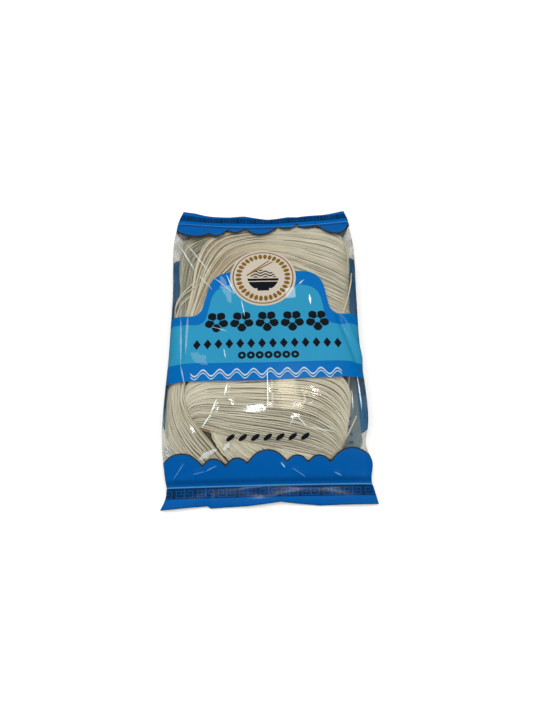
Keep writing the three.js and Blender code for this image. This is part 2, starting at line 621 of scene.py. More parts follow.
        # one broad painted glint on the label, its ends slanting with the label's crease
        (x, y), half_width, half_length, slant, strength = (20.6, 27.6), 3.7, 4.6, 0.1, 0.25
        glint = self.x.near(x, half_width) * (self.y - self.x * slant).near(y, half_length)
        # painted highlights along the other creases, with the painted glint
        self.veil(reduce(or_, lines) | glint * strength, self.inks.crease)

    def front(self) -> None:
        """Draw the front: bands, label with its arch, roundel and rows of small ornaments."""
        self.bands()
        label = self.kept("label_edge").above(0)
        arch = self.kept("arch_edge").above(0)
        self.lay(label, self.inks.label)
        self.lay(arch, self.inks.arch)
        self.blossoms()
        self.rows()
        self.bowl()

    def blossoms(self) -> None:
        """Draw five dark blossoms in a row, each of five petals round an open middle."""
        pitch, height, reach, turned = 19.4, 5.0, 9.2, 0.3
        eye, waist = 2.2, 0.66  # the open middle's radius, and the petals' share where they meet
        vein_to, vein_from = 6.2, 0.985  # how far out a vein runs, and the sine beyond which it is
        half_row, half_petals = 2.5 * pitch, 2.5
        u = self.x.repeat(self.MIDDLE - half_row, pitch)
        v = self.y - height
        out = u.far_from(0, v, 0)
        angle = (v.step("ARCTAN2", u) + turned) * half_petals
        petal = abs(angle.step("COSINE")) * (1 - waist) + waist
        bloom = out.below(petal * reach) * out.above(eye)
        veins = abs(angle.step("SINE")).above(vein_from) * out.below(vein_to)
        self.lay(bloom * (veins * -1 + 1) * self.x.near(self.MIDDLE, half_row), self.inks.mark)

    def rows(self) -> None:
        """Draw the rows of small ornaments: lozenges, rings, a pale wave and grains on the clear film."""
        pitch, half_row, height, half_width, half_height = 8.2, 7 * 8.2, -14.2, 3.0, 4.2
        u = self.x.repeat(self.MIDDLE - half_row, pitch)
        lozenge = (abs(u) / half_width + abs(self.y - height) / half_height).below(1)
        self.lay(lozenge * self.x.near(self.MIDDLE, half_row), self.inks.mark)

        middle, pitch, half_row, height, radius, half_line = 2.0, 6.6, 3.5 * 6.6, -24.0, 2.0, 1.0
        ring = self.x.repeat(middle - half_row, pitch).far_from(0, self.y, height)
        self.lay(ring.near(radius, half_line) * self.x.near(middle, half_row), self.inks.mark)

        length, half_row, height, swing = 12.4, 55.8, -37.4, 2.4
        wave = self.y - height - (self.x * (TURN / length)).step("SINE") * swing
        for shift, half_line in ((0, 0.62), (-2.4, 0.4)):
            self.lay(wave.near(shift, half_line) * self.x.near(0, half_row), self.inks.wave)

        pitch, half_row, height, slope, half_length, half_width = 8.9, 31.1, -84.0, 0.5, 3.1, 1.7
        u = self.x.repeat(0.1 - half_row, pitch)
        tilted = self.y - height - u * slope
        grain = (u / half_length).far_from(0, tilted / half_width, 0).below(1)
        self.lay(grain * self.x.near(0, half_row), self.inks.mark)

    def bowl(self) -> None:
        """Draw the cream roundel with a thin ring, a ring of grains, and a bowl with a pair of sticks."""
        cx, cy = self.plan.roundel
        u, v = self.x - cx, self.y - cy
        out = u.far_from(0, v, 0)
        radius, ring_at, half_ring = 26.2, 24.0, 0.5
        self.lay(out.below(radius), self.inks.cream)
        self.lay(out.near(ring_at, half_ring), self.inks.ring)

        grains, grains_at, half_width, half_length = 32, 19.6, 1.5, 2.4
        turn = v.step("ARCTAN2", u).repeat(0, TURN / grains) * grains_at
        grain = (turn / half_width).far_from(0, (out - grains_at) / half_length, 0).below(1)
        self.lay(grain, self.inks.ring)

        cup_radius, rim, base, line_at, half_line = 12.6, -1.6, -10.6, -4.2, 0.4
        foot_at, half_foot, half_foot_height = -11.6, 4.6, 1.1
        cup = out.below(cup_radius) * v.below(rim) * v.above(base)
        foot = u.near(0, half_foot) * v.near(foot_at, half_foot_height)
        self.lay((cup | foot) * (v.near(line_at, half_line) * -1 + 1), self.inks.mark)

        waves, swing, pitch, start, half_fold = 0.8, 0.9, 2.6, 0.4, 0.62
        flatness, sunk, heap_radius, heap_from = 1.25, -2, 10.4, -0.7
        folds = (v - (u * waves).step("SINE") * swing).repeat(start, pitch).near(0, half_fold)
        heap = u.far_from(0, v * flatness, sunk).below(heap_radius) * v.above(heap_from)
        self.lay(folds * heap, self.inks.mark)

        half_stick, left, right, stick_from, stick_to = 0.62, -13.0, 12.0, -0.4, 16.4
        for slope, shift in ((0.62, 9.4), (0.78, 11.6)):
            stick = (v - u * slope).near(shift, half_stick) * u.near((left + right) / 2, (right - left) / 2)
            self.lay(stick * v.above(stick_from) * out.below(stick_to), self.inks.ring)

    def back(self) -> None:
        """Draw the back: bands, and a framed pale panel with rows of small bars."""
        panel_cover = 0.94
        pitch, start, half_height = 6.2, -88.0, 1.05  # of the rows of bars
        swing, shuffle, length, half_length = 7, 2.4, 9.0, 3.4  # how each row's bars are shifted and cut
        half_width, middle, half_run = 64, -8, 78  # of the field of bars
        self.bands()
        clear = self.kept("band_edge").above(-self.OUTLINE) * -1 + 1
        panel = self.kept("panel_edge").above(0) * clear
        self.lay(self.kept("frame_edge").above(0) * clear, self.inks.frame)
        self.lay(panel, self.inks.panel, panel_cover)
        row = self.y.repeat(start, pitch).near(0, half_height)
        shifted = ((self.y / pitch).step("FLOOR") * shuffle).step("SINE") * swing + self.x
        bars = row * shifted.repeat(0, length).near(0, half_length)
        field = abs(self.x).below(half_width) * abs(self.y - middle).below(half_run) * panel
        self.lay(bars * field, self.inks.panel_mark)


@dataclass(frozen=True)
class StretchedFilm:
    """Stretched polypropylene film, blown thin and clear.

    It is glossy on both faces, so it shows sharp small glints on every crease, lets nearly all light
    through where it is bare, and is a little milky where it is crumpled.
    """

    tint: str = "#f7f6f2"
    haze: tuple[str, str] = ("#565a5b", "#f2f3f0")  # of the milky film between its specks, and on them
    milkiness: tuple[float, float] = (0.02, 0.08)  # the least and the most of the smooth film
    speckle: float = 0.6  # how milky the worn margins are
    ior: float = 1.49  # polypropylene
    roughness: float = 0.085
    ink_roughness: float = 0.15
    ink_specular: float = 0.2  # less than the film alone, as the ink lies behind it
    ink_shades: tuple[float, float] = (0.93, 1.07)
    least_mirror: float = 0.07  # what two faces of the film reflect straight on
    rim_mirror: float = 0.5  # what is added at a glancing angle
    rim_power: float = 4.0
    crumple_mm: float = 0.35
    crumple_strength: float = 0.8
    fine_share: float = 0.12  # of the crumple's height
    crumple_width_mm: float = 7.7
    speck_mm: float = 1.0
    patch_mm: float = 26.3  # of the inks' shades and of the milky patches

    def material(
        self, name: str, side: Side, inks: Inks, plan: PrintPlan, creases: "tuple[Crease, ...]"
    ) -> bpy.types.Material:
        """Build the printed film of one side.

        Args:
            name: The material's name.
            side: Front or back.
            inks: The print's colours.
            plan: The print's fields.
            creases: The creases of the front.

        Returns:
            The material.
        """
        made, tree = new_material(name)
        artist = Artist(tree, inks, plan)
        if side is Side.FRONT:
            artist.front()
            artist.paint_crease_highlights(creases)
        else:
            artist.back()
        where = artist.where
        crumple = add_node(tree, "TexNoise", {"Vector": where, "Scale": scale_for(self.crumple_width_mm),
                                              "Detail": 3.0, "Roughness": 0.6, "Distortion": 0.8})
        fine = add_node(tree, "TexNoise", {"Vector": where, "Scale": scale_for(self.speck_mm),
                                           "Detail": 2.0})
        mix = Reading(tree, crumple.outputs["Fac"]) + Reading(tree, fine.outputs["Fac"]) * self.fine_share
        strength = artist.kept("crumple") * self.crumple_strength
        bump = add_node(tree, "Bump", {"Strength": strength.socket, "Distance": self.crumple_mm * MM,
                                       "Height": mix.socket})
        normal = bump.outputs["Normal"]
        # inks vary a little in thickness, which darkens and lightens them in soft patches
        patch = add_node(tree, "TexNoise", {"Vector": where, "Scale": scale_for(self.patch_mm),
                                            "Detail": 2.0})
        shade = add_node(tree, "MapRange", {"Value": patch.outputs["Fac"], "To Min": self.ink_shades[0],
                                            "To Max": self.ink_shades[1]})
        tint = add_node(tree, "HueSaturation", {"Value": shade.outputs[0], "Color": artist.colour})
        ink = add_node(tree, "BsdfPrincipled", {"Base Color": tint.outputs[0], "Normal": normal,
                                                "Roughness": self.ink_roughness, "IOR": self.ior,
                                                "Specular IOR Level": self.ink_specular})
        clear = add_node(tree, "BsdfTransparent", {"Color": linear(self.tint)})
        mirror = add_node(tree, "BsdfAnisotropic", {"Roughness": self.roughness, "Normal": normal,
                                                    "Color": (1, 1, 1, 1)})
        layer = add_node(tree, "LayerWeight", {"Blend": 0.5, "Normal": normal})
        facing = Reading(tree, layer.outputs["Facing"])
        share = facing.step("POWER", self.rim_power) * self.rim_mirror + self.least_mirror
        bare = add_node(tree, "MixShader", {0: share.socket, 1: clear.outputs[0], 2: mirror.outputs[0]})
        speck = add_node(tree, "MapRange", {"Value": fine.outputs["Fac"], "From Min": 0.42, "From Max": 0.6})
        between, on_specks = (linear(colour) for colour in self.haze)
        dust = add_node(tree, "Mix", {0: speck.outputs[0], 6: between, 7: on_specks}, data_type="RGBA")
        haze = add_node(tree, "BsdfDiffuse", {"Color": dust.outputs[2], "Normal": normal})
        thin = add_node(tree, "MapRange", {"Value": patch.outputs["Fac"], "From Min": 0.35, "From Max": 0.75,
                                           "To Min": self.milkiness[0], "To Max": self.milkiness[1]})
        milky = Reading(tree, thin.outputs[0]) + artist.kept("speckle") * self.speckle
        film = add_node(tree, "MixShader", {0: milky.socket, 1: bare.outputs[0], 2: haze.outputs[0]})
        printed = add_node(tree, "MixShader", {0: artist.cover.socket, 1: film.outputs[0], 2: ink.outputs[0]})
        add_node(tree, "OutputMaterial", {"Surface": printed.outputs[0]})
        return made


# ---------------------------------------------------------------------------------------------------
# Film
# ---------------------------------------------------------------------------------------------------


@dataclass(frozen=True)
class Crease:
    """A straight crease of the film, raised or sunk, that fades out at both ends."""

    start: Point
    end: Point
    height: float
    width: float
    white: float = 0.0  # how opaque the painted highlight along it is
    line: float = 0.45  # half of that highlight's width
    fade: float = 0.25  # share of its length over which each end fades out

    def lift(self, plan: np.ndarray) -> np.ndarray:
        """Lift the film along the crease.

        Args:
            plan: The points' x and y.

        Returns:
            How far each point is lifted.
        """
        a, b = np.array(self.start), np.array(self.end)
        along = b - a
        length = np.linalg.norm(along)
        along = along / length
        t = (plan - a) @ along / length
        aside = (plan - a) @ np.array([-along[1], along[0]])
        fades = ramp(t, 0, self.fade) * ramp(1 - t, 0, self.fade)
        return self.height * fades * np.exp(-((aside / self.width) ** 2))


@dataclass
class FilmBag:
    """The clear printed film: one closed skin round the noodles, flat at both seals."""

    BROAD = (0.028, 0.022, 0)  # how fast its broad waves change along each axis, for each millimetre
    FINE = (0.16, 0.09, 0.1)  # its crinkles
    WANDER = (0.021, 0.012, 0)  # the way that the pleats wander
    SWING = (0.07, 0, 0.004)  # and their height, across the bag and along it

    subdivisions: int = 2
    near_line: tuple[float, float] = (-115.7, -116.2)  # where the near seal begins, at the middle and side
    far_line: tuple[float, float] = (107.8, 116.0)
    half_width: float = 77.0
    near_fret: float = 0.4  # how far beyond the seal's line the fret begins
    far_fret: float = 4.2
    pleat: float = 0.22  # height of the small pleats that run in from each seal
    pleat_run: float = 11.0
    pleat_pitch: float = 8.6
    slack: float = 0.5  # height of the film's broad waves
    crinkle: float = 0.16  # height of the fine crinkles where the film is most crumpled
    least_crinkle: float = 0.12  # share of it that is everywhere
    back_crinkle: float = 0.25  # height of the fine crinkles of the back
    steepest: float = 0.25  # the least upward share of a normal that the print is still stretched for
    creases: tuple[Crease, ...] = (
        # pulled tight from the far left corner
        Crease((-73, 85.6), (-54.6, 50), 0.75, 2.2, 0.5, 0.42),
        Crease((-54.6, 50), (-41, 33.5), 0.6, 2.0, 0.4, 0.38),
        Crease((-65.6, 83.3), (-41.6, 46.1), 0.75, 2.2, 0.45, 0.38),
        Crease((-41.6, 46.1), (-24.2, 29.4), 0.6, 2.0, 0.35, 0.34),
        Crease((-35, 47), (-26.5, 21), 0.4, 4.0, 0.11, 3.0),
        Crease((-30.5, 48), (-23.5, 29), 0.4, 1.8, 0.6, 0.4),
        # on the label
        Crease((-18.5, 24.2), (-15.7, 9.5), 0.4, 1.6, 0.6, 0.32),
        Crease((35.2, 28), (35.8, 18.6), 0.5, 1.6, 1.0, 0.62),
        Crease((27, 37), (32, 41.4), 0.4, 1.8, 0.5, 0.5),
        Crease((-31.4, -18), (-30, -26), 0.4, 1.8, 0.5, 0.34),
        Crease((-41, 0.8), (-29, -3.6), 0.4, 1.8, 0.4, 0.3),
        Crease((-60, 13), (-60.4, -22), 0.6, 2.2, 0.16, 0.9),
        Crease((-66, 13), (-63.8, -30), -0.7, 2.6, 0.2, 0.6),
        Crease((-64.2, -28), (-59.5, -47), 0.5, 2.2, 0.3, 0.4),
        Crease((-57, -20), (-43, -31), 0.5, 4.0, 0.07, 3.4),
        # folded over on the right
        Crease((54, 18), (74, -40), -1.7, 2.4),
        Crease((60, 16), (78, -34), 1.0, 2.4),
        # over the folded end of the skein
        Crease((-28.4, -45.5), (-30.4, -55.5), 0.5, 1.8, 1.0, 0.5),
        Crease((-28, -57.6), (-24, -59.4), 0.5, 1.8, 0.9, 0.6),
        Crease((-35.6, -57), (-40.6, -68.6), 0.5, 1.8, 0.9, 0.46),
        Crease((-40.4, -68), (-46.8, -77), 0.5, 1.8, 0.85, 0.4),
        Crease((0.8, -35), (0.6, -67), 0.35, 1.6, 0.8, 0.4),
        Crease((15, -77.8), (20.8, -69.4), 0.4, 1.8, 0.45, 0.3),
        Crease((20.6, -69.6), (28.6, -78.4), 0.4, 1.8, 0.6, 0.34),
        Crease((28, -77.6), (50, -82), 0.4, 2.0, 0.55, 0.34),
        Crease((34, -73), (50, -81), 0.4, 2.0, 0.5, 0.3),
        Crease((28, -52), (40, -72), 0.5, 2.0),
        Crease((44, -52), (26, -66), 0.45, 1.8),
        # beside the bundle
        Crease((62, -51), (62, -67), 0.4, 1.8, 0.6, 0.4),
        Crease((67.5, -40), (68.8, -66), 0.7, 1.9, 0.9, 0.46),
        Crease((-66, -60), (-44, -98), 0.6, 2.6),
        Crease((-49.5, -98), (-36, -91), 0.5, 3.0, 0.4, 1.7),
        Crease((-32, -92), (-27, -87), 0.4, 2.4, 0.45, 1.4),
        # on the near band
        Crease((-59.8, -99.4), (-68.4, -110.4), 0.4, 2.2, 0.28, 0.26),
        Crease((-54.6, -107.4), (-45, -105.4), 0.4, 2.2, 0.25, 0.26),
        Crease((-45.2, -105.6), (-36.6, -101.8), 0.4, 2.2, 0.36, 0.36),
        Crease((9, -100.4), (12.2, -104.4), 0.4, 2.2, 0.7, 0.5),
        Crease((17, -104.2), (27, -110.6), 0.4, 2.2, 0.4, 0.24),
        Crease((47, -107.4), (53, -110.4), 0.5, 2.2, 0.4, 0.3),
    )
    crumpled: Patches = (
        (35, -58, 8, 0.7), (48, -84, 12, 0.5), (-40, -98, 10, 0.5), (38, 26, 6, 0.6),
        (-72, 70, 10, 0.8), (74, 74, 10, 0.9), (-76, -82, 9, 0.8), (70, -84, 10, 0.9), (22, -112, 9, 0.3),
        (-24, -34, 8, 0.3), (40, -34, 10, 0.3), (-14, -113, 8, 0.4), (54, 46, 9, 0.4),
    )
    speckled: Patches = (  # the worn margins, white with fine specks
        (-76, 90, 7, 0.7), (-78, 72, 5, 0.8), (78, 92, 6, 0.9), (79, 74, 6, 0.9), (-79, 30, 4, 0.5),
        (-79, -70, 5, 0.6), (-77, -93, 6, 0.9), (77, -92, 6, 0.9), (79, -60, 5, 0.6), (80, 30, 4, 0.4),
        (79, 0, 4, 0.3), (-79, 50, 4, 0.5), (79, 52, 4, 0.4),
    )
    near_edge: tuple[Point, ...] = (  # x, and how far the near end is moved towards the far one there
        (-78.4, 0.2), (-43.3, 0.5), (-42.2, -1.1), (-16, -1.0), (-4, 0), (8.6, 1.5), (21, 0.1), (36.5, -1.0),
        (52, -0.2), (79, 1.4),
    )
    far_edge: tuple[Point, ...] = (  # x, and how far the far end is moved outwards there
        (-72, 0), (-62, 1.6), (-43.6, 1.0), (-30, 0.4), (-17, 2.0), (4.4, 0), (21.7, 1.2), (31, -0.3),
        (51, 0.9), (64, 2.4), (72, 3.3),
    )
    corner_in: float = 1.8  # the far right corner leans in

    def build(self, solid: bpy.types.Object) -> bpy.types.Object:
        """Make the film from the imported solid.

        Args:
            solid: The solid that stands for the bag.

        Returns:
            The film, still without its material.
        """
        film = bpy.data.objects.new("film", solid.data.copy())
        film.data.materials.clear()
        link(film)
        only(film)
        bpy.ops.object.mode_set(mode="EDIT")
        bpy.ops.mesh.select_all(action="SELECT")
        bpy.ops.mesh.remove_doubles(threshold=1e-6)
        bpy.ops.mesh.normals_make_consistent(inside=False)
        bpy.ops.mesh.tris_convert_to_quads(face_threshold=math.pi, shape_threshold=math.pi)
        bpy.ops.object.mode_set(mode="OBJECT")
        self._name_sides(film.data)
        self._sharpen_ends(film)
        finer = film.modifiers.new("finer", "SUBSURF")
        finer.levels = finer.render_levels = self.subdivisions
        bpy.ops.object.modifier_apply(modifier=finer.name)
        place_points(film.data, self._crumpled(film.data))
        bpy.ops.object.shade_smooth()
        return film

    def _name_sides(self, mesh: bpy.types.Mesh) -> None:
        """Give each face to the front or to the back by where it looks.

        Args:
            mesh: The film's mesh, still without materials.
        """
        sides = [Side.FRONT.value if face.normal.z > 0 else Side.BACK.value for face in mesh.polygons]
        mesh.materials.append(None)
        mesh.materials.append(None)
        mesh.polygons.foreach_set("material_index", sides)

    def _sharpen_ends(self, film: bpy.types.Object) -> None:
        """Keep the outer edges of both seals sharp through the subdivision.

        Args:
            film: The film, whose faces are given to its two sides.
        """
        mesh = film.data
        points = points_of(mesh)
        faces_at: dict[tuple[int, int], set[int]] = {}
        for face in mesh.polygons:
            for key in face.edge_keys:
                faces_at.setdefault(key, set()).add(face.material_index)
        crease = mesh.attributes.new("crease_edge", "FLOAT", "EDGE")
        held = np.zeros(len(mesh.edges))
        for i, edge in enumerate(mesh.edges):
            a, b = edge.vertices
            y = points[[a, b], 1].mean()
            joins = len(faces_at.get(edge.key, ())) == 2
            if joins and (y < self.near_line[0] or y > self.far_line[0]):
                held[i] = 1.0
        crease.data.foreach_set("value", held)

    def seal_line(self, x: np.ndarray, line: tuple[float, float]) -> np.ndarray:
        """Return the y at which a seal begins, which curves from the middle to the sides."""
        share = np.clip(np.abs(x) / self.half_width, 0, 1) ** 2
        return line[0] + (line[1] - line[0]) * share

    def past_seal(self, plan: np.ndarray) -> np.ndarray:
        """Measure how far points lie beyond the line of the nearer seal.

        Args:
            plan: The points' x and y.

        Returns:
            The distance outwards of each point, negative on the filled body.
        """
        beyond_far = plan[:, 1] - self.seal_line(plan[:, 0], self.far_line)
        beyond_near = self.seal_line(plan[:, 0], self.near_line) - plan[:, 1]
        return np.maximum(beyond_far, beyond_near)

    def _pleats(self, points: np.ndarray, past: np.ndarray) -> np.ndarray:
        """Run small uneven pleats in from each seal.

        Args:
            points: The film's points.
            past: How far they lie beyond the nearer seal's line.

        Returns:
            How far each point is lifted.
        """
        wandering, least, opening = 1.7, 0.6, 3.0
        wander = soft_noise(points, self.WANDER, (0, 0, 4))
        phase = TURN * (points[:, 0] / self.pleat_pitch + wandering * wander)
        swing = soft_noise(points[:, [0, 2, 1]], self.SWING, (0, 3, 0))
        fading = np.exp(-np.maximum(-past, 0) / self.pleat_run) * ramp(-past, 0, opening)
        return self.pleat * np.sin(phase) * (least + swing) * fading

    def _crumpled(self, mesh: bpy.types.Mesh) -> np.ndarray:
        """Give the film its creases, pleats and crinkles.

        Args:
            mesh: The smooth film.

        Returns:
            The moved points.
        """
        free_from, free_at = -2.0, 8.0  # from the seal's line inwards, where the film is free to crinkle
        seal_depth, corner_from, corner_to = 13.0, 50.0, 76.0
        points, normals = points_of(mesh), read_points(mesh, "normal")
        plan = points[:, :2]
        past = self.past_seal(plan)
        held = ramp(-past, free_from, free_at)
        broad = soft_noise(points, self.BROAD, (0, 0, 1))
        fine = soft_noise(points, self.FINE)
        crinkled = self.crinkle * fine * (self.least_crinkle + self._touched(plan, self.crumpled))
        creased = sum(crease.lift(plan) for crease in self.creases)
        lift = (creased + self.slack * broad + crinkled) * held + self._pleats(points, past)
        front = ramp(normals[:, 2], -0.2, 0.3)
        lift = lift * front + self.back_crinkle * fine * held * (1 - front)
        moved = points + normals * lift[:, None]
        moved[:, 2] = np.maximum(moved[:, 2], 0)
        near, far = (np.interp(plan[:, 0], *np.array(edge).T) for edge in (self.near_edge, self.far_edge))
        out = ramp(past, 0, seal_depth)
        at_far = plan[:, 1] > 0
        moved[:, 1] += out * np.where(at_far, far, near)
        moved[:, 0] -= out * at_far * self.corner_in * ramp(plan[:, 0], corner_from, corner_to)
        return moved

    @staticmethod
    def _touched(plan: np.ndarray, patches: Patches) -> np.ndarray:
        """Return how strongly soft round patches touch each point.

        Args:
            plan: The points' x and y.
            patches: The patches.

        Returns:
            The strongest patch at each point.
        """
        strengths = np.zeros(len(plan))
        for x, y, reach, strength in patches:
            near = np.exp(-((plan[:, 0] - x) ** 2 + (plan[:, 1] - y) ** 2) / reach**2)
            strengths = np.maximum(strengths, strength * near)
        return strengths

    def dress(self, film: bpy.types.Object, finish: StretchedFilm, inks: Inks, plan: PrintPlan) -> None:
        """Keep the print's distances on the film and give it its two printed sides.

        Args:
            film: The film.
            finish: What the film is made of.
            inks: The print's colours.
            plan: The print's fields.
        """
        flat = points_of(film.data)[:, :2]
        # on a steep part of the film a millimetre in plan is more than a millimetre of film
        steep = np.maximum(np.abs(read_points(film.data, "normal")[:, 2]), self.steepest)
        for name, values in plan.measure(flat).items():
            keep_on(film.data, name, values if name == "band_edge" else values / steep)
        keep_on(film.data, "crumple", self._touched(flat, self.crumpled))
        keep_on(film.data, "speckle", self._touched(flat, self.speckled))
        keep_on(film.data, "past_seal", self.past_seal(flat))
        keep_on(film.data, "fret_start", np.where(flat[:, 1] > 0, self.far_fret, self.near_fret))
        for side in Side:
            name = f"printed_film_{side.name.lower()}"
            film.data.materials[side.value] = finish.material(name, side, inks, plan, self.creases)


class Inside:
    """The room under the film, as heights on an even net of points, for laying things in it."""

    STEP = 1.5  # between the net's points
    REACH_X = 81.0
    REACH_Y = 132.0
    SEARCH = 0.2  # metres

    def __init__(self, film: bpy.types.Object) -> None:
        """Feel for the film from above and from below over the whole net.

        Args:
            film: The finished film.
        """
        tree = BVHTree.FromObject(film, bpy.context.evaluated_depsgraph_get())
        self.xs = np.arange(-self.REACH_X, self.REACH_X + 1e-6, self.STEP)
        self.ys = np.arange(-self.REACH_Y, self.REACH_Y + 1e-6, self.STEP)
        top = np.zeros((len(self.ys), len(self.xs)))
        low = np.zeros_like(top)
        for j, y in enumerate(self.ys):
            for i, x in enumerate(self.xs):
                down = tree.ray_cast(Vector((x * MM, y * MM, self.SEARCH)), Vector((0, 0, -1)))[0]
                up = tree.ray_cast(Vector((x * MM, y * MM, -self.SEARCH)), Vector((0, 0, 1)))[0]
                top[j, i] = down.z * MM_PER_M if down else 0
                low[j, i] = up.z * MM_PER_M if up else top[j, i]
        # the lowest film within a strand's width, so that a strand never touches it
        self.top = self._settle(top, np.minimum)
        self.low = self._settle(low, np.maximum)
        # the same roof without its narrow ridges, for what lies deeper
        self.calm = self._settle(self._settle(self.top, np.minimum), np.maximum)

    @staticmethod
    def _settle(heights: np.ndarray, choose: Callable) -> np.ndarray:
        """Take the lowest or highest of neighbouring points and smooth the result a little.

        Args:
            heights: The film's heights over the net.
            choose: Takes the lower or the higher of two nets.

        Returns:
            The settled heights.
        """
        shifts = [(j, i) for j in (-1, 0, 1) for i in (-1, 0, 1)]
        kept = heights
        for j, i in shifts:
            kept = choose(kept, np.roll(heights, (j, i), (0, 1)))
        return sum(np.roll(kept, shift, (0, 1)) for shift in shifts) / len(shifts)

    def at(self, plan: np.ndarray, heights: np.ndarray) -> np.ndarray:
        """Read heights between the points of the net.

        Args:
            plan: x and y of the wanted places, in the last axis.
            heights: The film above or the film below.

        Returns:
            The height at each place.
        """
        last = 1.001  # keeps the last place inside the net's last cell
        u = np.clip((plan[..., 0] - self.xs[0]) / self.STEP, 0, len(self.xs) - last)
        v = np.clip((plan[..., 1] - self.ys[0]) / self.STEP, 0, len(self.ys) - last)
        i, j = u.astype(int), v.astype(int)
        s, t = u - i, v - j
        lower = heights[j, i] * (1 - s) + heights[j, i + 1] * s
        upper = heights[j + 1, i] * (1 - s) + heights[j + 1, i + 1] * s
        return lower * (1 - t) + upper * t


# ---------------------------------------------------------------------------------------------------
# Noodles
# ---------------------------------------------------------------------------------------------------


@dataclass(frozen=True)
class DriedDough:
    """Wheat dough drawn to strands and air-dried: a matte pale cream, faintly see-through at its skin."""

    pale: str = "#d8d3c2"
    # deep is the dark end of the strands' random tone, and also painted shade for deeper layers and the low
    # family at the far left
    deep: str = "#7d7d6b"
    buried_shade: str = "#967647"  # painted warm shade between the strands, with the glow where light comes through the dough
    roughness: float = 0.6
    ior: float = 1.45
    specular: float = 0.3
    flour_mm: float = 0.08  # height of the floury grain on a strand
    grain_mm: float = 0.417  # width of that grain
    cloud_mm: float = 16.7
    tone_share: float = 0.8  # how much the shade follows the strand's own tone
    cloud_share: float = 0.36  # and how much it follows soft clouds

    def material(self, name: str) -> bpy.types.Material:
        """Build the strands' finish, whose tone differs a little from strand to strand, with painted brown
        shade deeper down.

        Args:
            name: The material's name.

        Returns:
            The material.
        """
        made, tree = new_material(name)
        where = add_node(tree, "TexCoord").outputs["Object"]
        tone = Reading(tree, add_node(tree, "Attribute", attribute_name="tone").outputs["Fac"])
        buried_shade = add_node(tree, "Attribute", attribute_name="buried_shade").outputs["Fac"]
        cloud = add_node(tree, "TexNoise", {"Vector": where, "Scale": scale_for(self.cloud_mm),
                                            "Detail": 3.0})
        flour = add_node(tree, "TexNoise", {"Vector": where, "Scale": scale_for(self.grain_mm),
                                            "Detail": 2.0})
        share = tone * self.tone_share + Reading(tree, cloud.outputs["Fac"]) * self.cloud_share - 0.06
        ends = {0: share.socket, 6: linear(self.deep), 7: linear(self.pale)}
        colour = add_node(tree, "Mix", ends, data_type="RGBA").outputs[2]
        # painted brown shade on the strands that lie deeper in the bundle
        ends = {0: buried_shade, 6: colour, 7: linear(self.buried_shade)}
        warmed = add_node(tree, "Mix", ends, data_type="RGBA").outputs[2]
        bump = add_node(tree, "Bump", {"Strength": 0.25, "Distance": self.flour_mm * MM,
                                       "Height": flour.outputs["Fac"]})
        dough = add_node(tree, "BsdfPrincipled", {"Base Color": warmed, "Normal": bump.outputs["Normal"],
                                                  "Roughness": self.roughness, "IOR": self.ior,
                                                  "Specular IOR Level": self.specular})
        add_node(tree, "OutputMaterial", {"Surface": dough.outputs[0]})
        return made


@dataclass(frozen=True)
class ShadedBed:
    """The same dough deep in the bundle, where little light reaches it: a dull warm brown with dark seams."""

    lit: str = "#6c634e"
    dark: str = "#3d372d"
    seam_mm: float = 1.6  # from seam to seam
    cloud_mm: float = 11.1
    relief_mm: float = 0.5
    roughness: float = 0.8
    ior: float = 1.45

    def material(self, name: str) -> bpy.types.Material:
        """Build the bed's finish, striped as packed strands are.

        Args:
            name: The material's name.

        Returns:
            The material.
        """
        made, tree = new_material(name)
        where = add_node(tree, "TexCoord").outputs["Object"]
        # at a scale of one a wave texture repeats every TURN / 20 metres
        stripes = add_node(tree, "TexWave", {"Vector": where, "Scale": TURN / (20 * self.seam_mm * MM),
                                             "Distortion": 9.0, "Detail": 2.0, "Detail Scale": 1.5},
                           bands_direction="X")
        cloud = add_node(tree, "TexNoise", {"Vector": where, "Scale": scale_for(self.cloud_mm),
                                            "Detail": 3.0})
        share = Reading(tree, stripes.outputs["Fac"]) * 0.6 + Reading(tree, cloud.outputs["Fac"]) * 0.5 - 0.1
        ends = {0: share.socket, 6: linear(self.dark), 7: linear(self.lit)}
        colour = add_node(tree, "Mix", ends, data_type="RGBA").outputs[2]
        bump = add_node(tree, "Bump", {"Strength": 0.6, "Distance": self.relief_mm * MM,
                                       "Height": share.socket})
        bed = add_node(tree, "BsdfPrincipled", {"Base Color": colour, "Normal": bump.outputs["Normal"],
                                                "Roughness": self.roughness, "IOR": self.ior})
        add_node(tree, "OutputMaterial", {"Surface": bed.outputs[0]})
        return made


@dataclass(frozen=True)
class Strand:
    """One straight noodle, modelled once. Every strand in the bag is a copy of it laid along a line."""

    radius: float = 0.66
    sides: int = 5
    rings: int = 38

    def model(self) -> tuple[np.ndarray, list[tuple[int, ...]]]:
        """Model the noodle by drawing a small ring out step by step along +Z, one unit a step.

        Returns:
            Its points, with the step in z, and its faces.
        """
        bpy.ops.object.select_all(action="DESELECT")
        bpy.ops.mesh.primitive_circle_add(vertices=self.sides, radius=1, fill_type="NGON", location=(0, 0, 0))
        noodle = bpy.context.object
        bpy.ops.object.mode_set(mode="EDIT")
        bpy.ops.mesh.select_all(action="SELECT")
        for _ in range(self.rings - 1):
            bpy.ops.mesh.extrude_region_move(TRANSFORM_OT_translate={"value": (0, 0, 1)})
        bpy.ops.object.mode_set(mode="OBJECT")
        face_outwards(noodle)
        mesh = noodle.data
        points = read_points(mesh, "co")
        faces = [tuple(face.vertices) for face in mesh.polygons]
        bpy.data.objects.remove(noodle)
        bpy.data.meshes.remove(mesh)
        return points, faces


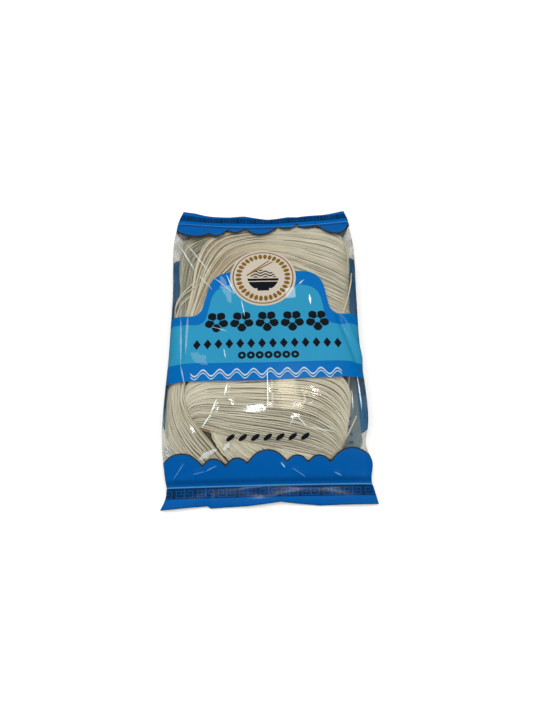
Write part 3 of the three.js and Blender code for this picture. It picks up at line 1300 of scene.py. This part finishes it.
@dataclass(frozen=True)
class Family:
    """Strands that run side by side between neighbouring guide lines."""

    SWINGS = ((0.7, 0.5), (1.6, 0.38), (3.4, 0.3), (6.6, 0.26), (10.5, 0.15))  # waves and their size
    SLOW = 2  # a stray strand swings wider in the waves of which there are fewer than this
    STRAY = 3.2  # how much wider
    SPREAD = (0.35, 0.85)  # where stacked strands spread out
    GUIDE_POINTS = 160
    JITTER = 0.14  # of a strand's place in its layer, as a share of the pitch
    UNEVENNESS = 0.22  # typical difference of depth from strand to strand
    TONE_SPREAD = 0.2
    LAYER_SHADE = 0.08  # painted shade: how much darker each deeper layer is
    MOST_BURIED_SHADE = 0.75

    name: str
    guides: tuple[tuple[Point, ...], ...]
    pitch: float = 1.5  # between neighbouring strands of a layer
    layers: int = 2
    depth: float = 1.0  # of the first layer under the film
    layer_step: float = 1.15
    wiggle: float = 0.8
    strays: float = 0.08  # share of strands that wander more
    dip_start: float = 0.0  # how deep the strands dive at their two ends
    dip_end: float = 0.0
    dip_share: float = 0.1
    tone: float = 0.6
    shade_warmth: float = 0.5  # how much painted brown shade each deeper layer gets
    stack: float = 0.0  # how deep strands are heaped at the start, which spread out side by side later
    ragged: float = 0.03  # share by which lengths differ

    def lines(self, rings: int, draw: np.random.Generator) -> tuple[np.ndarray, ...]:
        """Lay out the family's strands in plan.

        Args:
            rings: Points along each strand.
            draw: The source of random numbers.

        Returns:
            The strands' points in plan, their depths under the film, their tones and their share of painted
            shade.
        """
        guides = np.stack([smooth_line(guide, self.GUIDE_POINTS) for guide in self.guides])
        spread = np.linalg.norm(np.diff(guides, axis=0), axis=2).max(axis=1)
        total = spread.sum()
        stops = np.concatenate([[0], np.cumsum(spread)])
        count = max(1, round(total / self.pitch))
        plans, depths, tones, buried_shade = [], [], [], []
        for layer in range(self.layers):
            for k in range(count):
                place = k + 0.5 + 0.5 * (layer % 2) + draw.uniform(-self.JITTER, self.JITTER)
                at = float(np.clip(place / count * total, 0, total - 1e-6))
                i = int(np.searchsorted(stops, at, side="right") - 1)
                share = (at - stops[i]) / spread[i]
                line = guides[i] * (1 - share) + guides[i + 1] * share
                begin, end = draw.uniform(0, self.ragged), 1 - draw.uniform(0, self.ragged)
                t = np.linspace(begin, end, rings)
                along = t * (self.GUIDE_POINTS - 1)
                path = np.stack([np.interp(along, np.arange(len(line)), line[:, c]) for c in (0, 1)], axis=1)
                plans.append(self._swayed(path, t, draw))
                under = layer + draw.uniform(0, self.stack) * (1 - ramp(t, *self.SPREAD))
                uneven = abs(draw.normal()) * self.UNEVENNESS
                depths.append(self.depth + under * self.layer_step + uneven + self._dips(t))
                shade = self.tone + draw.normal() * self.TONE_SPREAD - self.LAYER_SHADE * layer
                tones.append(np.clip(shade, 0, 1))
                buried_shade.append(np.clip(self.shade_warmth * under, 0, self.MOST_BURIED_SHADE))
        return np.array(plans), np.array(depths), np.array(tones), np.array(buried_shade)

    def _swayed(self, path: np.ndarray, t: np.ndarray, draw: np.random.Generator) -> np.ndarray:
        """Let one strand sway to both sides of its path.

        Args:
            path: Its points in plan.
            t: Their places along it, from 0 to 1.
            draw: The source of random numbers.

        Returns:
            The swayed points.
        """
        stray = self.STRAY if draw.random() < self.strays else 1.0
        aside = np.zeros(len(t))
        for waves, size in self.SWINGS:
            swing = self.wiggle * size * (stray if waves < self.SLOW else 1.0)
            aside += swing * draw.normal() * np.sin(TURN * (waves * t + draw.random()))
        along = np.gradient(path, axis=0)
        along /= np.linalg.norm(along, axis=1)[:, None]
        return path + np.stack([-along[:, 1], along[:, 0]], axis=1) * aside[:, None]

    def _dips(self, t: np.ndarray) -> np.ndarray:
        """Return how much deeper a strand dives at its two ends, at each place along it."""
        starting, ending = (1 - ramp(np.stack([t, 1 - t]), 0, self.dip_share)) ** 2
        return self.dip_start * starting + self.dip_end * ending


@dataclass(frozen=True)
class SideRows:
    """Strands along both flanks and the underside, which the front families leave open."""

    floor: tuple[float, float, float] = (-66.0, 66.1, 1.6)  # x of the strands below: from, to and step
    floor_run: tuple[float, float] = (-97.0, 100.0)  # from and to which y they run
    floor_ragged: float = 5.0  # by how much their starts differ
    levels: tuple[float, float, float] = (2.0, 19.0, 1.5)  # heights of the strands along the flanks
    side_run: tuple[float, float] = (-80.0, 91.0)
    side_ragged: float = 4.0
    search: tuple[float, float, float] = (30.0, 80.0, 0.5)  # where a flank is looked for at a level
    inset: float = 0.4  # inside the film
    margin: float = 1.8  # inside the bundle's own reach
    least: float = 57.0  # a strand ends where the bag is narrower than this at its level
    wiggle: float = 0.6
    scatter: float = 0.4  # how unevenly the flanks' strands stand out
    level_scatter: float = 0.3  # and how unevenly they keep their level
    headroom: float = 2.0  # what they leave free under the film
    tone: float = 0.55
    tone_spread: float = 0.2


@dataclass(frozen=True)
class BedForm:
    """Sizes of the dark bed that fills the bundle under its outer strands."""

    cuts: int = 30
    under: float = 6.5  # from the film above down to its top
    over: float = 2.6  # from the film below up to its underside
    middle: float = 1.5  # y of its middle
    half_length: float = 97.5
    side_inset: float = 3.0  # inside the bundle's own reach
    least_half: float = 0.3  # of its thickness
    end_width: float = 0.92  # its width at both ends, as a share
    narrowing: int = 6  # the higher, the later it narrows towards its ends
    thinning: tuple[float, float] = (0.98, 0.9)  # how far its squared thickness drops at sides and ends
    thins: tuple[int, int] = (8, 10)  # the higher, the later it thins towards its sides and ends

    def thinned(self, across: np.ndarray, along: np.ndarray) -> np.ndarray:
        """Return its thickness as a share, for places from -1 to 1 across and along it."""
        parts = zip(self.thinning, (across, along), self.thins)
        return math.prod((1 - gone * np.abs(place) ** late) ** 0.5 for gone, place, late in parts)

    def narrowed(self, along: np.ndarray) -> np.ndarray:
        """Return its width as a share, for places from -1 to 1 along it."""
        return self.end_width + (1 - self.end_width) * (1 - np.abs(along) ** self.narrowing) ** 0.5


class NoodleBundle:
    """All noodles in the bag, joined family by family into a few pieces."""

    # the bundle's own reach in plan, inside the film
    LEFT = ((-104, -66), (-98, -70), (-92, -73), (-80, -75.2), (-50, -75.8), (-20, -74.5), (5, -69.5),
            (40, -68), (60, -70.5), (85, -71.5), (104, -66))
    RIGHT = ((-104, 50), (-90, 55.5), (-60, 61), (-42, 63), (-28, 66.5), (22, 67.5), (45, 69.5), (62, 71.5),
             (76, 72.5), (90, 71.5), (104, 66))
    CLEARANCE = 0.5  # between a strand's skin and the film
    EASING = (0.1, 0.2, 0.4, 0.2, 0.1)  # how the heights along a strand are evened out
    GIRTH_SPREAD = 0.1  # how much strands differ in thickness

    # single strands that stray from the bundle, and how deep each lies under the film
    LOOSE = (
        (((-73.5, 9), (-72.5, 22), (-66, 32), (-55, 39), (-45, 47)), 0.6),
        (((-72, 4), (-69.5, 20), (-62, 29), (-52, 36)), 1.4),
        (((-73, 18), (-70, 30), (-60, 40), (-50, 50)), 1.0),
        (((60, 10), (66, 26), (71, 44), (74, 58)), 0.6),
        (((52, -92), (56, -86), (61, -77), (66, -68)), 3.0),
    )
    TUCK = 3.0  # how much deeper the end of each one dives
    TUCK_FROM = 0.7  # from where on, as a share of its length
    LOOSE_TONE = 0.8

    FAMILIES = (
        Family(
            "noodles_arch",
            (
                ((-67, -10), (-61, 18), (-58, 38), (-56, 62), (-50, 84), (-36, 99), (-14, 105), (22, 106.5),
                 (48, 104), (63, 98), (71.5, 89)),
                ((-64, -14), (-58, 12), (-52, 36), (-44, 60), (-31, 79), (-8, 88), (18, 87), (42, 81),
                 (60, 75), (73, 70.5)),
                ((-60, -18), (-53, 8), (-43, 30), (-32, 50), (-18, 64), (0, 69), (20, 66), (42, 56),
                 (58, 49), (71, 44.5)),
                ((-54, -22), (-44, 0), (-34, 18), (-22, 34), (-6, 43), (12, 42), (30, 33), (46, 22),
                 (58, 16), (68.5, 13.5)),
                ((-52, -22), (-42, 0), (-32, 16), (-20, 30), (-6, 37), (10, 36), (26, 26), (40, 14),
                 (54, 2), (66, -6)),
            ),
            pitch=1.42, layers=2, depth=0.6, layer_step=1.1, wiggle=0.42, strays=0.07, tone=0.68, dip_end=4.0,
            dip_share=0.04, stack=2.5, shade_warmth=0.42, ragged=0.008,
        ),
        Family(
            "noodles_deep",
            (
                ((-69.5, 0), (-70, 30), (-70.5, 60), (-69.5, 82), (-64, 94), (-50, 101), (-30, 104)),
                ((-66, 0), (-66.5, 28), (-66, 54), (-63, 72), (-55, 83), (-43, 88), (-28, 89)),
                ((-60, 4), (-60, 26), (-59, 44), (-57, 58), (-51, 68), (-40, 72), (-28, 70)),
            ),
            # its low tone is painted shade, as this part of the skein lies low under slack film, in shadow
            pitch=1.9, layers=3, depth=2.4, layer_step=1.3, wiggle=0.8, strays=0.15, tone=0.06, shade_warmth=0.3,
        ),
        Family(
            "noodles_wrap",
            (
                ((-61.5, -56), (-58, -44), (-46, -37), (-30, -35), (0, -34), (30, -34), (53, -38), (61, -49),
                 (62, -66)),
                ((-61.5, -64), (-58, -54), (-46, -48), (-30, -47), (0, -47), (30, -49), (48, -57), (58, -70),
                 (60, -84)),
                ((-60, -71), (-55.5, -63), (-45, -61), (-30, -62), (-8, -64), (16, -67), (36, -73), (50, -83),
                 (56, -95)),
                ((-56, -74), (-47, -76), (-28, -82), (-8, -87), (12, -91), (32, -95), (46, -99), (52, -103)),
            ),
            pitch=1.42, layers=3, depth=0.6, layer_step=1.1, wiggle=0.45, strays=0.09, dip_start=9.0,
            dip_end=6.0, dip_share=0.08, tone=0.76, shade_warmth=0.6,
        ),
        Family(
            "noodles_fall",
            (
                ((-72, 4), (-75, -20), (-76.5, -42), (-77, -58), (-76, -74), (-71.5, -87), (-62, -98),
                 (-49, -107)),
                ((-52, 0), (-56.5, -20), (-60, -40), (-60.5, -54), (-57, -66), (-50, -76), (-39, -89),
                 (-27, -102)),
            ),
            pitch=1.42, layers=3, depth=0.9, layer_step=1.05, wiggle=0.45, strays=0.05, tone=0.7, dip_end=2.0,
            shade_warmth=0.55,
        ),
        Family(
            "noodles_under",
            (
                ((-41, -70), (-40.5, -80), (-35.5, -90), (-24, -102)),
                ((-32, -70), (-24, -82), (-8, -94), (12, -104)),
                ((-10, -80), (10, -88.5), (34, -95.5), (53, -101)),
            ),
            pitch=1.42, layers=3, depth=1.9, layer_step=1.05, wiggle=0.45, tone=0.9, shade_warmth=0.5,
        ),
    )

    def __init__(self, room: Inside, strand: Strand, seed: int = 11) -> None:
        """Take the room under the film and the one strand that is copied.

        Args:
            room: The room under the film.
            strand: The modelled noodle.
            seed: Where the random numbers start, so that each run gives the same noodles.
        """
        self.room = room
        self.strand = strand
        self.points, self.faces = strand.model()
        self.draw = np.random.default_rng(seed)

    def _limits(self, y: np.ndarray) -> tuple[np.ndarray, np.ndarray]:
        """Return how far the bundle reaches to the left and right at each y."""
        left, right = np.array(self.LEFT), np.array(self.RIGHT)
        return np.interp(y, left[:, 0], left[:, 1]), np.interp(y, right[:, 0], right[:, 1])

    def _room_for(self, plan: np.ndarray) -> tuple[np.ndarray, np.ndarray]:
        """Return the lowest and the highest at which a strand's middle can lie at each place."""
        clear = self.strand.radius + self.CLEARANCE
        return self.room.at(plan, self.room.low) + clear, self.room.at(plan, self.room.top) - clear

    def _seat(self, plan: np.ndarray, depth: np.ndarray) -> np.ndarray:
        """Put strands that are laid out in plan at their height under the film.

        Args:
            plan: Points along each strand, in plan.
            depth: How deep each point lies under the film.

        Returns:
            The points with their heights.
        """
        left, right = self._limits(plan[..., 1])
        seated = np.stack([np.clip(plan[..., 0], left, right), plan[..., 1]], axis=-1)
        ground, roof = self._room_for(seated)
        calm = self.room.at(seated, self.room.calm) - self.strand.radius - self.CLEARANCE
        height = np.minimum(np.maximum(calm - depth, ground), np.maximum(roof, (roof + ground) / 2))
        reach = len(self.EASING) // 2
        padded = np.pad(height, ((0, 0), (reach, reach)), mode="edge")
        rings = height.shape[1]
        eased = sum(padded[:, i : i + rings] * share for i, share in enumerate(self.EASING))
        return np.concatenate([seated, np.minimum(eased, np.maximum(roof, ground))[..., None]], axis=-1)

    def _tubes(
        self, name: str, paths: np.ndarray, tones: np.ndarray, buried_shade: np.ndarray | None = None
    ) -> bpy.types.Object:
        """Lay a copy of the strand along each path and join them.

        Args:
            name: The piece's name.
            paths: Points along each strand.
            tones: How pale each strand is.
            buried_shade: How much painted brown shade each strand gets.

        Returns:
            The piece.
        """
        step = np.rint(self.points[:, 2]).astype(int)
        along = np.gradient(paths, axis=1)
        along /= np.linalg.norm(along, axis=2)[..., None] + 1e-12
        side = np.cross(np.array([0.0, 0.0, 1.0]), along)
        side /= np.linalg.norm(side, axis=2)[..., None] + 1e-12
        up = np.cross(along, side)
        girth = 1 + self.GIRTH_SPREAD * self.draw.normal(size=len(paths))
        radius = self.strand.radius * girth[:, None, None]
        across = self.points[:, 0][None, :, None] * side[:, step]
        rise = self.points[:, 1][None, :, None] * up[:, step]
        placed = paths[:, step] + radius * (across + rise)
        count = len(self.points)
        faces = [tuple(i + k * count for i in face) for k in range(len(paths)) for face in self.faces]
        mesh = bpy.data.meshes.new(name)
        mesh.from_pydata((placed.reshape(-1, 3) * MM).tolist(), [], faces)
        keep_on(mesh, "tone", np.repeat(tones, count))
        browned = np.zeros(paths.shape[:2]) if buried_shade is None else buried_shade
        keep_on(mesh, "buried_shade", browned[:, step].ravel())
        piece = bpy.data.objects.new(name, mesh)
        link(piece)
        face_outwards(piece)
        bpy.ops.object.shade_smooth()
        return piece

    def families(self) -> list[bpy.types.Object]:
        """Lay every family of the front.

        Returns:
            One piece for each family.
        """
        pieces = []
        for family in self.FAMILIES:
            plan, depth, tones, buried_shade = family.lines(self.strand.rings, self.draw)
            pieces.append(self._tubes(family.name, self._seat(plan, depth), tones, buried_shade))
        return pieces

    def flanks(self, rows: SideRows) -> bpy.types.Object:
        """Lay the strands that show from the sides and from below.

        Args:
            rows: How they are spaced.

        Returns:
            The piece.
        """
        rings = self.strand.rings
        paths = []
        for x in np.arange(*rows.floor):
            start, end = rows.floor_run
            y = np.linspace(start + self.draw.uniform(-rows.floor_ragged, rows.floor_ragged), end, rings)
            paths.append(self._run(rows, x + self._sway(rows), y, None))
        for level in np.arange(*rows.levels):
            for sign in (-1, 1):
                start, end = rows.side_run
                y = np.linspace(start + self.draw.uniform(-rows.side_ragged, rows.side_ragged), end, rings)
                reach = self._flank(rows, y, level, sign)
                wide = y[reach > rows.least]
                if len(wide) < 2:
                    continue
                there = np.linspace(wide.min(), wide.max(), rings)
                paths.append(self._run(rows, sign * np.interp(there, y, reach), there, level))
        tones = np.clip(rows.tone + self.draw.normal(size=len(paths)) * rows.tone_spread, 0, 1)
        return self._tubes("noodles_flanks", np.array(paths), tones)

    def _sway(self, rows: SideRows) -> np.ndarray:
        """Draw a slow sideways sway along one strand.

        Args:
            rows: How the strands are spaced.

        Returns:
            How far each of its points lies aside.
        """
        t = np.linspace(0, 1, self.strand.rings)
        swings = (self.draw.normal() * np.sin(TURN * (waves * t + self.draw.random())) for waves in (1, 2))
        return rows.wiggle * sum(swings)

    def _flank(self, rows: SideRows, y: np.ndarray, level: float, sign: int) -> np.ndarray:
        """Feel how far out a strand can lie at a level on one side of the bag.

        Args:
            rows: How the strands are spaced.
            y: The places along the bag.
            level: The strand's height.
            sign: -1 on the left, 1 on the right.

        Returns:
            Its distance from the bag's middle at each place.
        """
        tries = np.arange(*rows.search)
        ground, roof = self._room_for(np.stack(np.meshgrid(sign * tries, y), axis=-1))
        reach = np.where((ground < level) & (level < roof), tries, 0).max(axis=1)
        left, right = self._limits(y)
        limit = -left if sign < 0 else right
        return np.minimum(reach - rows.inset, limit - rows.margin) + rows.scatter * self.draw.normal()

    def _run(self, rows: SideRows, x: np.ndarray, y: np.ndarray, level: float | None) -> np.ndarray:
        """Run one strand along the bag, on the underside or at a level.

        Args:
            rows: How the strands are spaced.
            x: Its place across the bag at each point.
            y: Its points along the bag.
            level: Its height, or none for a strand that lies on the film below.

        Returns:
            Its points.
        """
        x = np.clip(x, *self._limits(y))
        ground, roof = self._room_for(np.stack([x, y], axis=1))
        wish = ground if level is None else np.full(len(y), level) + rows.level_scatter * self.draw.normal()
        height = np.minimum(np.maximum(wish, ground), np.maximum(roof - rows.headroom, ground))
        return np.stack([x, y, height], axis=1)

    def loose(self) -> bpy.types.Object:
        """Lay the few single strands that stray from the bundle.

        Returns:
            The piece.
        """
        plans = np.array([smooth_line(route, self.strand.rings) for route, _ in self.LOOSE])
        tucked = self.TUCK * ramp(np.linspace(0, 1, self.strand.rings), self.TUCK_FROM, 1)
        depths = np.array([deep + tucked for _, deep in self.LOOSE])
        ground, roof = self._room_for(plans)
        height = np.maximum(np.minimum(roof, np.maximum(roof - depths, ground)), np.minimum(roof, ground))
        paths = np.concatenate([plans, height[..., None]], axis=-1)
        return self._tubes("noodles_loose", paths, np.full(len(paths), self.LOOSE_TONE))

    def bed(self, form: BedForm) -> bpy.types.Object:
        """Model the dark bed from a finely cut cube.

        Args:
            form: Its sizes.

        Returns:
            The piece.
        """
        bpy.ops.object.select_all(action="DESELECT")
        bpy.ops.mesh.primitive_cube_add(size=2, location=(0, 0, 0))
        bed = bpy.context.object
        bed.name = bed.data.name = "noodle_bed"
        bpy.ops.object.mode_set(mode="EDIT")
        bpy.ops.mesh.select_all(action="SELECT")
        bpy.ops.mesh.subdivide(number_cuts=form.cuts)
        bpy.ops.object.mode_set(mode="OBJECT")
        across, along, up = read_points(bed.data, "co").T
        y = form.middle + form.half_length * along
        left, right = self._limits(y)
        reach = np.where(across < 0, -left - form.side_inset, right - form.side_inset)
        x = across * reach * form.narrowed(along)
        plan = np.stack([x, y], axis=1)
        roof = self.room.at(plan, self.room.top) - form.under
        ground = self.room.at(plan, self.room.low) + form.over
        half = np.maximum((roof - ground) / 2, form.least_half)
        z = (roof + ground) / 2 + half * up * form.thinned(across, along)
        place_points(bed.data, np.stack([x, y, z], axis=1))
        only(bed)
        bpy.ops.object.shade_smooth()
        return bed


# ---------------------------------------------------------------------------------------------------
# Studio
# ---------------------------------------------------------------------------------------------------


@dataclass(frozen=True)
class AreaLight:
    """One soft box, aimed at the bag."""

    name: str
    place: Place  # metres
    size: tuple[float, float]  # across the bag and along it, in metres
    power: float  # watts
    colour: str = "#ffffff"
    mirrored: bool = True  # whether the film's gloss shows it
    target: Place = (0, -0.01, 0.02)

    def build(self) -> None:
        """Hang the light with its long side along the bag."""
        data = bpy.data.lights.new(self.name, "AREA")
        data.shape = "RECTANGLE"
        data.size, data.size_y = self.size
        data.energy = self.power
        data.color = linear(self.colour)[:3]
        lamp = bpy.data.objects.new(self.name, data)
        lamp.location = self.place
        lamp.visible_glossy = self.mirrored
        back = (Vector(self.place) - Vector(self.target)).normalized()
        side = Vector((0, 1, 0)).cross(back).normalized()
        lamp.rotation_euler = Matrix((side, back.cross(side), back)).transposed().to_euler()
        link(lamp)


@dataclass(frozen=True)
class Studio:
    """A plain pale floor, soft light and the camera."""

    floor_size: float = 6.0  # metres
    floor_drop: float = 0.0004  # below the bag, so that the two never share a surface
    floor_colour: str = "#f2f1ee"
    floor_roughness: float = 0.8
    floor_patch_mm: float = 25.0
    world_colour: str = "#eef2f5"
    world_strength: float = 0.05
    lens: float = 24.0
    sensor_width: float = 36.0
    nearest_seen: float = 0.01  # metres
    camera_place: Place = (-0.0002, -0.1673, 0.3573)
    camera_tilt: float = 23.03  # degrees from straight down
    camera_turn: float = -1.3
    lights: tuple[AreaLight, ...] = (
        AreaLight("dome", (0.1, 0.1, 1.3), (2.6, 2.6), 42.0, mirrored=False),
        AreaLight("key", (-0.95, 0.75, 1.05), (0.5, 0.5), 6.0, mirrored=False),
        AreaLight("lamp", (-0.065, -0.35, 1.0), (0.04, 0.14), 0.45, "#f4fbff"),
        AreaLight("second_lamp", (0.129, -0.29, 1.0), (0.05, 0.1), 0.3, "#f4fbff"),
        AreaLight("far_lamp", (0.2, 0.24, 1.0), (0.06, 0.1), 0.4, "#fffaf0"),
        AreaLight("window", (0.072, 0.0, 1.0), (0.085, 0.8), 0.8, "#ffeccc"),
    )

    def build(self) -> None:
        """Set up the floor, the light and the camera."""
        self._floor()
        world = bpy.data.worlds.new("studio")
        world.use_nodes = True
        backdrop = world.node_tree.nodes["Background"]
        backdrop.inputs["Color"].default_value = linear(self.world_colour)
        backdrop.inputs["Strength"].default_value = self.world_strength
        bpy.context.scene.world = world
        for light in self.lights:
            light.build()
        self._camera()
        bpy.context.scene.view_settings.view_transform = "Standard"

    def _floor(self) -> None:
        """Lay the floor just under the bag."""
        bpy.ops.object.select_all(action="DESELECT")
        bpy.ops.mesh.primitive_plane_add(size=self.floor_size, location=(0, 0, 0))
        floor = bpy.context.object
        floor.name = "floor"
        floor.data.transform(floor.matrix_world)
        for vertex in floor.data.vertices:
            vertex.co.z = -self.floor_drop
        made, tree = new_material("painted_board")
        where = add_node(tree, "TexCoord").outputs["Object"]
        grain = add_node(tree, "TexNoise", {"Vector": where, "Scale": scale_for(self.floor_patch_mm),
                                            "Detail": 2.0})
        shade = add_node(tree, "MapRange", {"Value": grain.outputs["Fac"], "To Min": 0.985, "To Max": 1.0})
        tint = add_node(tree, "HueSaturation", {"Value": shade.outputs[0],
                                                "Color": linear(self.floor_colour)})
        board = add_node(tree, "BsdfPrincipled", {"Base Color": tint.outputs[0],
                                                  "Roughness": self.floor_roughness})
        add_node(tree, "OutputMaterial", {"Surface": board.outputs[0]})
        floor.data.materials.append(made)
        floor.visible_glossy = False  # the picture was taken in darker surroundings than a white board

    def _camera(self) -> None:
        """Place the camera where the picture was taken from."""
        data = bpy.data.cameras.new("camera")
        data.lens = self.lens
        data.sensor_width = self.sensor_width
        data.clip_start = self.nearest_seen
        camera = bpy.data.objects.new("camera", data)
        camera.location = self.camera_place
        camera.rotation_euler = (math.radians(self.camera_tilt), 0, math.radians(self.camera_turn))
        link(camera)
        bpy.context.scene.camera = camera


def main() -> None:
    """Build the bag, its noodles and the studio, and note the model's size."""
    logging.basicConfig(level=logging.INFO, format="%(name)s: %(message)s")
    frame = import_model()
    Studio().build()
    bag = FilmBag()
    film = bag.build(frame["nodes"]["bag"])
    bag.dress(film, StretchedFilm(), Inks(), PrintPlan())
    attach(film, "root")
    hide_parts("bag")
    bundle = NoodleBundle(Inside(film), Strand())
    dough = DriedDough().material("dried_dough")
    pieces = bundle.families() + [bundle.flanks(SideRows()), bundle.loose()]
    for piece in pieces:
        piece.data.materials.append(dough)
    bed = bundle.bed(BedForm())
    bed.data.materials.append(ShadedBed().material("shaded_dough"))
    for piece in pieces + [bed]:
        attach(piece, "root")
    for piece in [film] + pieces + [bed]:
        piece.data.calc_loop_triangles()
        log.info("%s: %d triangles", piece.name, len(piece.data.loop_triangles))


if __name__ == "__main__":
    main()
